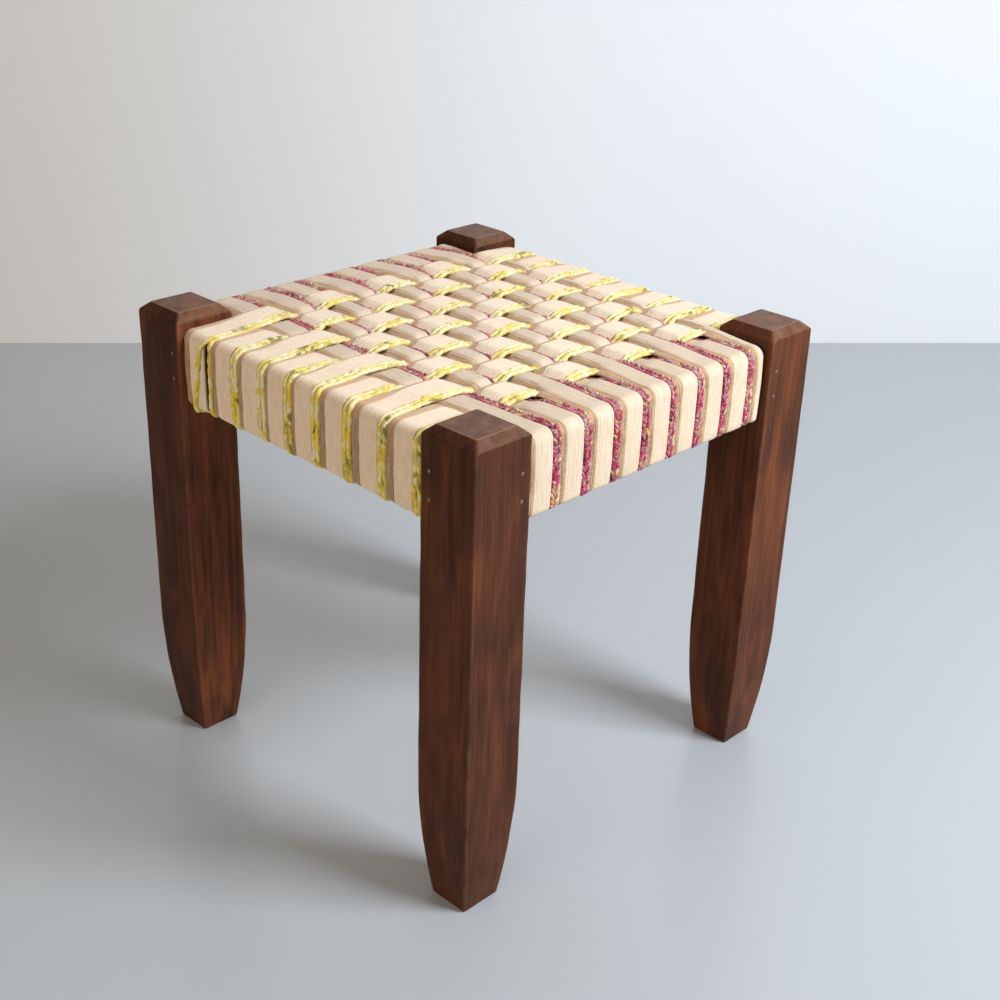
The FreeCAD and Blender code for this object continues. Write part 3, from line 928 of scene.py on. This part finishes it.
def strand_skins(direction, number, settings):
    """The two coloured strands beside one band, each of two plies twisted about each other.

    A ply's middle goes round the strand's middle as a helix, whose angle grows by a whole number of turns
    over the belt and wanders a little. The two strands twist opposite ways. Also gives the shift of each
    point along the strand's row of colours.
    """
    side_axis = 0 if direction == "warp" else 1
    low, high = node_box(direction + "_strands_" + str(number))
    start, width = low[side_axis], high[side_axis] - low[side_axis]
    yellow = direction == "warp"
    step = YELLOW_STEP if yellow else MAGENTA_STEP
    belt = make_belt(direction, number, step, step)
    strand_radius = width / 4 * (YELLOW_SHARE if yellow else MAGENTA_SHARE)
    ply_radius = strand_radius * (settings.yellow_ply_share if yellow else settings.magenta_ply_share)
    ply_offset = strand_radius - ply_radius
    seed = number * 10 + (1000 if yellow else 2000)
    length = belt["along"][-1]
    twist = settings.yellow_twist if yellow else settings.magenta_twist
    skins = []
    tones = []
    rise = YELLOW_RISE if yellow else 0
    for strand in range(2):
        middle = start + strand_radius * (1 + 2 * strand) + belt["drift"]
        depth = strand_radius - rise + STRAND_GATHER_DEPTH * belt["gather"] * (1 + strand)
        middle = middle - GATHER_STRANDS * belt["gather"] * strand
        if yellow:
            depth = depth + YELLOW_SINK * belt["raised"]
            middle = middle - YELLOW_SINK * belt["raised"]
        if yellow and number == 1 and strand == 0:
            slip = slipped(belt)
            started = smooth_step(slip * SLIP_START_RATE)
            middle = middle - SLIP_START * started - SLIP * slip
            depth = depth - SLIP_LIFT * started
        middle = middle + STRAND_WOBBLE * wander(belt["phase"], 1, seed + strand, 8, 40)
        turns = round(length / twist)
        turned = TURN * turns * belt["phase"] * (1 if strand else -1)
        turned = turned + number + TWIST_UNEVENNESS * wander(belt["phase"], 1, seed + 2 + strand, 4, 60)[0]
        angle = np.stack([turned, turned + TURN / 2])
        side = middle + ply_offset * np.cos(angle)
        ply_depth = depth - ply_offset * np.sin(angle)
        radius = ply_radius * (1 + PLY_UNEVENNESS * wander(belt["phase"], 2, seed + 4 + strand, 30, 120))
        plies = tube_points(direction, belt, side, ply_depth, radius, PLY_SIDES)
        along = belt["along"] + number * PATTERN_STEP
        around = TURN * ply_radius / PLY_SIDES
        skins.append(torus_skin(plies, along, around, PLY_PATTERN_STEP * (1 + strand), 0))
        tones.append(np.full(len(skins[-1]["points"]), STRAND_TONES[direction][strand]))
    return skins, {"Tone": np.concatenate(tones)}


# Settings that a user would change

class StoolPostSettings(bpy.types.PropertyGroup):
    corner_ease: FloatProperty(
        name="Corner ease", description="Radius that the posts' long edges are eased to",
        default=1.5 * MM, min=0.3 * MM, max=6 * MM, unit="LENGTH")
    stain: FloatVectorProperty(
        name="Stain", description="Colour of the stained wood over most of a face",
        default=linear("#5D3624"), subtype="COLOR", min=0, max=1)
    dark_stain: FloatVectorProperty(
        name="Dark grain", description="Colour of the darkest streaks and the pores",
        default=linear("#40271E"), subtype="COLOR", min=0, max=1)
    red_stain: FloatVectorProperty(
        name="Red grain", description="Colour of the lighter, redder streaks",
        default=linear("#7F472B"), subtype="COLOR", min=0, max=1)
    # Colour of rubbed edges, and also of the painted sheen over the heads and the painted light on chamfers
    # toward the window
    worn_and_lit_wood: FloatVectorProperty(
        name="Worn edge", description="Colour of the wood where the edges have rubbed",
        default=linear("#A07C68"), subtype="COLOR", min=0, max=1)
    peg: FloatVectorProperty(
        name="Peg", description="Colour of the ends of the pegs",
        default=linear("#9A7D64"), subtype="COLOR", min=0, max=1)


class StoolSeatSettings(bpy.types.PropertyGroup):
    cord_pitch: FloatProperty(
        name="Cord pitch", description="Distance from one cord of a band to the next",
        default=2.15 * MM, min=1.5 * MM, max=6 * MM, unit="LENGTH")
    wobble: FloatProperty(
        name="Wobble", description="How far a cord strays from its straight line",
        default=0.11 * MM, min=0, max=1 * MM, unit="LENGTH")
    yellow_twist: FloatProperty(
        name="Yellow twist", description="Length in which a yellow strand turns once",
        default=18 * MM, min=5 * MM, max=60 * MM, unit="LENGTH")
    magenta_twist: FloatProperty(
        name="Magenta twist", description="Length in which a magenta strand turns once",
        default=7.5 * MM, min=5 * MM, max=60 * MM, unit="LENGTH")
    yellow_ply_share: FloatProperty(
        name="Yellow ply", description="A ply's radius as a share of its strand's",
        default=0.84, min=0.4, max=0.9, subtype="FACTOR")
    magenta_ply_share: FloatProperty(
        name="Magenta ply", description="A ply's radius as a share of its strand's",
        default=0.68, min=0.4, max=0.9, subtype="FACTOR")
    cream: FloatVectorProperty(
        name="Cream", description="Colour of clean cotton cord",
        default=linear("#F6DFC5"), subtype="COLOR", min=0, max=1)
    soiled: FloatVectorProperty(
        name="Soiled cream", description="Colour of the cotton where it is soiled",
        default=linear("#E9CDAA"), subtype="COLOR", min=0, max=1)
    # The lower cords' tan is painted shade as well as soil
    groove: FloatVectorProperty(
        name="Groove cord", description="Colour of the lower cords between bands",
        default=linear("#C4A07A"), subtype="COLOR", min=0, max=1)
    # Lighter than the warps' lower cords: less painted shade
    weft_groove: FloatVectorProperty(
        name="Weft groove cord", description="Colour of the lower cords beside wefts",
        default=linear("#DDB98E"), subtype="COLOR", min=0, max=1)
    # Painted shade as well as soil
    groove_shade: FloatVectorProperty(
        name="Groove shade", description="Colour of the soiled lower cords",
        default=linear("#98775A"), subtype="COLOR", min=0, max=1)


class StoolStageSettings(bpy.types.PropertyGroup):
    floor: FloatVectorProperty(
        name="Floor", description="Colour of the floor",
        default=linear("#C3C7CB"), subtype="COLOR", min=0, max=1)
    wall: FloatVectorProperty(
        name="Wall", description="Colour of the wall behind the stool",
        default=linear("#F2F4F7"), subtype="COLOR", min=0, max=1)
    # Painted shade: the wall's colour far from the window
    wall_shaded: FloatVectorProperty(
        name="Wall at the left", description="Colour of the wall far from the window",
        default=linear("#D4CCC2"), subtype="COLOR", min=0, max=1)
    wall_glow: FloatProperty(
        name="Wall glow", description="Light that the wall adds where it is seen",
        default=0.08, min=0, max=2)
    window: FloatVectorProperty(
        name="Window light", description="Colour of the light from the right",
        default=(0.84, 0.92, 1.0), subtype="COLOR", min=0, max=1)
    window_power: FloatProperty(
        name="Window power", description="Power of the soft light from the right",
        default=52.0, min=0, max=500, unit="POWER")
    sky: FloatVectorProperty(
        name="Room light", description="Colour of the light from all round",
        default=(1.0, 0.89, 0.76), subtype="COLOR", min=0, max=1)
    sky_strength: FloatProperty(
        name="Sky strength", description="Strength of the light from all round",
        default=0.27, min=0, max=3)
    fill_power: FloatProperty(
        name="Fill power", description="Power of the soft light from the front",
        default=16.0, min=0, max=500, unit="POWER")


# Operators

class STOOL_OT_posts(bpy.types.Operator):
    """Make the four posts"""
    bl_idname = "stool.posts"
    bl_label = "Posts"

    def execute(self, context):
        settings = context.scene.stool_posts
        material = wood_material("StainedHardwoodSatinVarnish", settings, 2, True)
        for number, (side, tones) in enumerate(POST_TONES.items()):
            low, high = node_box("post_" + side)
            skin, marks = post_skin(low, high, settings.corner_ease, 11 * number + 3, *tones)
            make_piece("worn_lit_post_" + side, [skin], [material], ["post_" + side], marks)
        return {"FINISHED"}


class STOOL_OT_rails(bpy.types.Operator):
    """Give the four rails their wood"""
    bl_idname = "stool.rails"
    bl_label = "Rails"

    def execute(self, context):
        settings = context.scene.stool_posts
        for axis, names in ((0, ("rail_front", "rail_back")), (1, ("rail_left", "rail_right"))):
            material = wood_material("StainedHardwoodRail" + "XY"[axis], settings, axis, False)
            for name in names:
                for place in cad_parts[name].material_slots:
                    place.material = material
        return {"FINISHED"}


class STOOL_OT_pegs(bpy.types.Operator):
    """Make the pegs that lock the rails' tenons, with their slightly domed ends"""
    bl_idname = "stool.pegs"
    bl_label = "Pegs"

    def execute(self, context):
        material = peg_material(context.scene.stool_posts)
        for side, axis, sign in (("front", 1, -1), ("back", 1, 1), ("left", 0, -1), ("right", 0, 1)):
            low, high = node_box("pins_" + side)
            across = 1 - axis
            face = low[axis] if sign < 0 else high[axis]
            depth = high[axis] - low[axis]
            # The profile of a peg: its inner end, the rim of its face, and the face as an arc of an ellipse
            dome = np.linspace(0, 1, PEG_DOME_STATIONS)[1:] * PEG_DOME_ANGLE
            radius = np.concatenate([[PEG_RADIUS, PEG_RADIUS], PEG_RADIUS * np.cos(dome)])
            reach = np.concatenate([[-depth, -PEG_DOME], PEG_DOME * np.sin(dome)])
            angle = TURN * np.arange(PEG_SIDES) / PEG_SIDES
            skins = []
            for run in (low[across] + PEG_RADIUS, high[across] - PEG_RADIUS):
                for height in (low[2] + PEG_RADIUS, high[2] - PEG_RADIUS):
                    grid = np.zeros((len(radius), PEG_SIDES, 3))
                    grid[:, :, across] = run + radius[:, None] * np.cos(angle)
                    grid[:, :, 2] = height + radius[:, None] * np.sin(angle)
                    grid[:, :, axis] = face + sign * reach[:, None]
                    skins.append(capped_skin(grid, 0))
            make_piece("peg_ends_" + side, skins, [material], ["pins_" + side])
        return {"FINISHED"}


def make_cords(direction, settings):
    """The cords of every band that runs one way. The lower cords are painted tan, as painted shade as well as
    soil, and the wefts' are painted lighter than the warps'.
    """
    cream = cord_material("CottonCordLaid_" + direction, settings.cream, settings.soiled, CREAM_TOP_LIGHT,
                          CREAM_TOP_LIGHT_SHARE)
    groove_colour = settings.groove if direction == "warp" else settings.weft_groove
    shaded_lower = cord_material("CottonCordSoiled_" + direction, groove_colour, settings.groove_shade, GROOVE_TOP_LIGHT,
                          GROOVE_TOP_LIGHT_SHARE)
    for number in range(1, 1 + band_count(direction)):
        skins = cord_skins(direction, number, settings)
        node = direction + "_band_" + str(number)
        make_piece(direction + "_cords_" + str(number), skins, [cream, shaded_lower], [node])


def make_strands(direction, settings, material):
    """The pairs of strands of every band that runs one way and has strands beside it in the frame."""
    for number in range(1, 1 + band_count(direction)):
        node = direction + "_strands_" + str(number)
        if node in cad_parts:
            skins, marks = strand_skins(direction, number, settings)
            make_piece(direction + "_twists_" + str(number), skins, [material], [node], marks)


class STOOL_OT_warp_cords(bpy.types.Operator):
    """Make the cream cords that run front to back"""
    bl_idname = "stool.warp_cords"
    bl_label = "Warp cords"

    def execute(self, context):
        make_cords("warp", context.scene.stool_seat)
        return {"FINISHED"}


class STOOL_OT_weft_cords(bpy.types.Operator):
    """Make the cream cords that run side to side"""
    bl_idname = "stool.weft_cords"
    bl_label = "Weft cords"

    def execute(self, context):
        make_cords("weft", context.scene.stool_seat)
        return {"FINISHED"}


class STOOL_OT_warp_strands(bpy.types.Operator):
    """Make the pairs of yellow strands beside the warp cords"""
    bl_idname = "stool.warp_strands"
    bl_label = "Yellow strands"

    def execute(self, context):
        stops = [(0.09, linear("#8A8246")), (0.18, linear("#D8BC44")), (0.34, linear("#EBCE44")),
                 (0.48, linear("#F1D75E")), (0.59, linear("#F2E096")), (0.72, linear("#F4E8C4")),
                 (0.84, linear("#EDD24E")), (0.94, linear("#CFC48C"))]
        material = strand_material("TwistedFabricYellow", stops, 9.0 * MM, 3.2 * MM, 0.2, 0.35, 0.7,
                                   linear("#35352F"))
        make_strands("warp", context.scene.stool_seat, material)
        return {"FINISHED"}


class STOOL_OT_weft_strands(bpy.types.Operator):
    """Make the pairs of magenta strands beside the weft cords"""
    bl_idname = "stool.weft_strands"
    bl_label = "Magenta strands"

    def execute(self, context):
        stops = [(0.10, linear("#46293A")), (0.20, linear("#8C2E4E")), (0.32, linear("#C63A64")),
                 (0.46, linear("#B82E4C")), (0.58, linear("#CE6282")), (0.68, linear("#DFB0B8")),
                 (0.75, linear("#A84A68")), (0.81, linear("#988C98")), (0.87, linear("#CF9350")),
                 (0.92, linear("#D9AC62")), (0.97, linear("#E2CC9C"))]
        material = strand_material("TwistedFabricMagenta", stops, 3.2 * MM, 1.5 * MM, 0.12, 0.4, 0.2,
                                   linear("#3C2836"))
        make_strands("weft", context.scene.stool_seat, material)
        return {"FINISHED"}


def one_sided(tree, shader):
    """Shows a stage surface from its front alone, so that it doesn't block a view from behind or below."""
    facing = add(tree, "ShaderNodeNewGeometry")
    clear = add(tree, "ShaderNodeBsdfTransparent")
    surface = add(tree, "ShaderNodeMixShader",
                  links={0: (facing, "Backfacing"), 1: (shader, 0), 2: (clear, 0)})
    tree.links.new(surface.outputs[0], tree.nodes["Material Output"].inputs["Surface"])


def stage_plane(name, corners, material):
    """A flat stage piece on four corners."""
    mesh = bpy.data.meshes.new(name)
    mesh.from_pydata(corners, [], [(0, 1, 2, 3)])
    mesh.materials.append(material)
    plane = bpy.data.objects.new(name, mesh)
    bpy.context.scene.collection.objects.link(plane)


class STOOL_OT_stage(bpy.types.Operator):
    """Make the floor, the wall, the lights and the camera"""
    bl_idname = "stool.stage"
    bl_label = "Stage"

    def execute(self, context):
        settings = context.scene.stool_stage
        scene = context.scene
        self.floor(settings)
        self.wall(settings)
        world = bpy.data.worlds.new("Room")
        world.use_nodes = True
        scene.world = world
        world.node_tree.nodes["Background"].inputs["Color"].default_value = (*settings.sky[:], 1)
        world.node_tree.nodes["Background"].inputs["Strength"].default_value = settings.sky_strength
        self.lamp(scene, "window", WINDOW_PLACE, WINDOW_SIZE, settings.window_power, settings.window)
        self.lamp(scene, "front_fill", FILL_PLACE, FILL_SIZE, settings.fill_power, settings.sky)
        self.camera(scene)
        scene.view_settings.view_transform = "Standard"
        return {"FINISHED"}

    def floor(self, settings):
        """A pale painted floor, a little glossy."""
        half = STAGE_SPAN / 2
        material, tree, shader = new_material("PaintedFloor", Roughness=0.25, Specular_IOR_Level=0.45,
                                              Base_Color=(*settings.floor[:], 1))
        one_sided(tree, shader)
        corners = [(-half, -half, 0), (half, -half, 0), (half, half, 0), (-half, half, 0)]
        stage_plane("floor", corners, material)

    def wall(self, settings):
        """A matt painted wall, darker at the left, far from the window, as painted shade.

        It glows only where it is seen, directly, in gloss or through glass, so it puts no light on the stool.
        """
        material, tree, shader = new_material("PaintedWall", Roughness=0.95, Specular_IOR_Level=0.1,
                                              Emission_Color=(*settings.wall[:], 1))
        ray = add(tree, "ShaderNodeLightPath")
        direct = add(tree, "ShaderNodeMath", links={0: (ray, "Is Camera Ray"), 1: (ray, "Is Glossy Ray")},
                     operation="MAXIMUM")
        seen = add(tree, "ShaderNodeMath", links={0: (direct, 0), 1: (ray, "Is Transmission Ray")},
                   operation="MAXIMUM")
        glow = add(tree, "ShaderNodeMath", {1: settings.wall_glow}, {0: (seen, 0)}, operation="MULTIPLY")
        tree.links.new(glow.outputs[0], shader.inputs["Emission Strength"])
        one_sided(tree, shader)
        along = np.array([math.cos(WALL_TURN), math.sin(WALL_TURN), 0])
        place = add(tree, "ShaderNodeTexCoord")
        reach = add(tree, "ShaderNodeVectorMath", {1: along}, {0: (place, "Object")}, operation="DOT_PRODUCT")
        # Painted shade: the wall darkens toward the left, away from the window
        near_window = add(tree, "ShaderNodeMapRange",
                          {"From Min": WALL_SHADE_START, "From Max": WALL_SHADE_END},
                          {"Value": (reach, "Value")})
        shaded_paint = add(tree, "ShaderNodeMix", {6: (*settings.wall_shaded[:], 1), 7: (*settings.wall[:], 1)},
                    {0: (near_window, 0)}, data_type="RGBA")
        tree.links.new(shaded_paint.outputs[2], shader.inputs["Base Color"])
        half = along * STAGE_SPAN / 2
        foot = np.array([-math.sin(WALL_TURN), math.cos(WALL_TURN), 0]) * WALL_DISTANCE
        up = np.array([0, 0, WALL_HEIGHT])
        corners = [foot - half, foot + half, foot + half + up, foot - half + up]
        stage_plane("wall", [tuple(corner) for corner in corners], material)

    def lamp(self, scene, name, place, size, power, colour):
        """A broad soft light that faces the stool."""
        light = bpy.data.lights.new(name, "AREA")
        light.shape = "SQUARE"
        light.size = size
        light.energy = power
        light.color = colour
        lamp = bpy.data.objects.new(name, light)
        back = np.array(place) / np.linalg.norm(place)
        right = np.cross([0, 0, 1], back)
        right /= np.linalg.norm(right)
        lamp.matrix_world = looking(place, right, np.cross(back, right), back)
        scene.collection.objects.link(lamp)

    def camera(self, scene):
        """The camera, turned by its azimuth, elevation and roll."""
        azimuth, elevation, roll = CAMERA_AZIMUTH, CAMERA_ELEVATION, CAMERA_ROLL
        back = np.array([math.sin(azimuth) * math.cos(elevation), -math.cos(azimuth) * math.cos(elevation),
                         math.sin(elevation)])
        level = np.array([math.cos(azimuth), math.sin(azimuth), 0])
        rise = np.cross(back, level)
        right = level * math.cos(roll) + rise * math.sin(roll)
        data = bpy.data.cameras.new("camera")
        data.lens = CAMERA_LENS
        data.sensor_width = SENSOR_WIDTH
        camera = bpy.data.objects.new("camera", data)
        camera.matrix_world = looking(CAMERA_PLACE, right, np.cross(back, right), back)
        scene.collection.objects.link(camera)
        scene.camera = camera


def looking(place, right, up, back):
    """The matrix of a lamp or camera at place whose own axes are right, up and back."""
    matrix = Matrix.Identity(4)
    for column, axis in enumerate((right, up, back, place)):
        for row in range(3):
            matrix[row][column] = float(axis[row])
    return matrix


class STOOL_PT_panel(bpy.types.Panel):
    """Lists the steps that dress the stool"""
    bl_label = "Woven seat stool"
    bl_idname = "STOOL_PT_panel"
    bl_space_type = "VIEW_3D"
    bl_region_type = "UI"
    bl_category = "Stool"

    def draw(self, context):
        for operator in operators:
            self.layout.operator(operator.bl_idname)
        for group in ("stool_posts", "stool_seat", "stool_stage"):
            settings = getattr(context.scene, group)
            for name in settings.bl_rna.properties.keys():
                if name not in ("rna_type", "name"):
                    self.layout.prop(settings, name)


operators = (STOOL_OT_posts, STOOL_OT_rails, STOOL_OT_pegs, STOOL_OT_warp_cords, STOOL_OT_weft_cords,
             STOOL_OT_warp_strands, STOOL_OT_weft_strands, STOOL_OT_stage)
classes = (StoolPostSettings, StoolSeatSettings, StoolStageSettings, *operators, STOOL_PT_panel)


def register():
    """Add the settings, operators and panel."""
    for item in classes:
        bpy.utils.register_class(item)
    bpy.types.Scene.stool_posts = PointerProperty(type=StoolPostSettings)
    bpy.types.Scene.stool_seat = PointerProperty(type=StoolSeatSettings)
    bpy.types.Scene.stool_stage = PointerProperty(type=StoolStageSettings)


def unregister():
    """Take the settings, operators and panel away again."""
    del bpy.types.Scene.stool_posts
    del bpy.types.Scene.stool_seat
    del bpy.types.Scene.stool_stage
    for item in reversed(classes):
        bpy.utils.unregister_class(item)


def main():
    """Dress the stool."""
    register()
    bpy.ops.stool.posts()
    bpy.ops.stool.rails()
    bpy.ops.stool.pegs()
    bpy.ops.stool.warp_cords()
    bpy.ops.stool.weft_cords()
    bpy.ops.stool.warp_strands()
    bpy.ops.stool.weft_strands()
    bpy.ops.stool.stage()


if __name__ == "__main__":
    main()
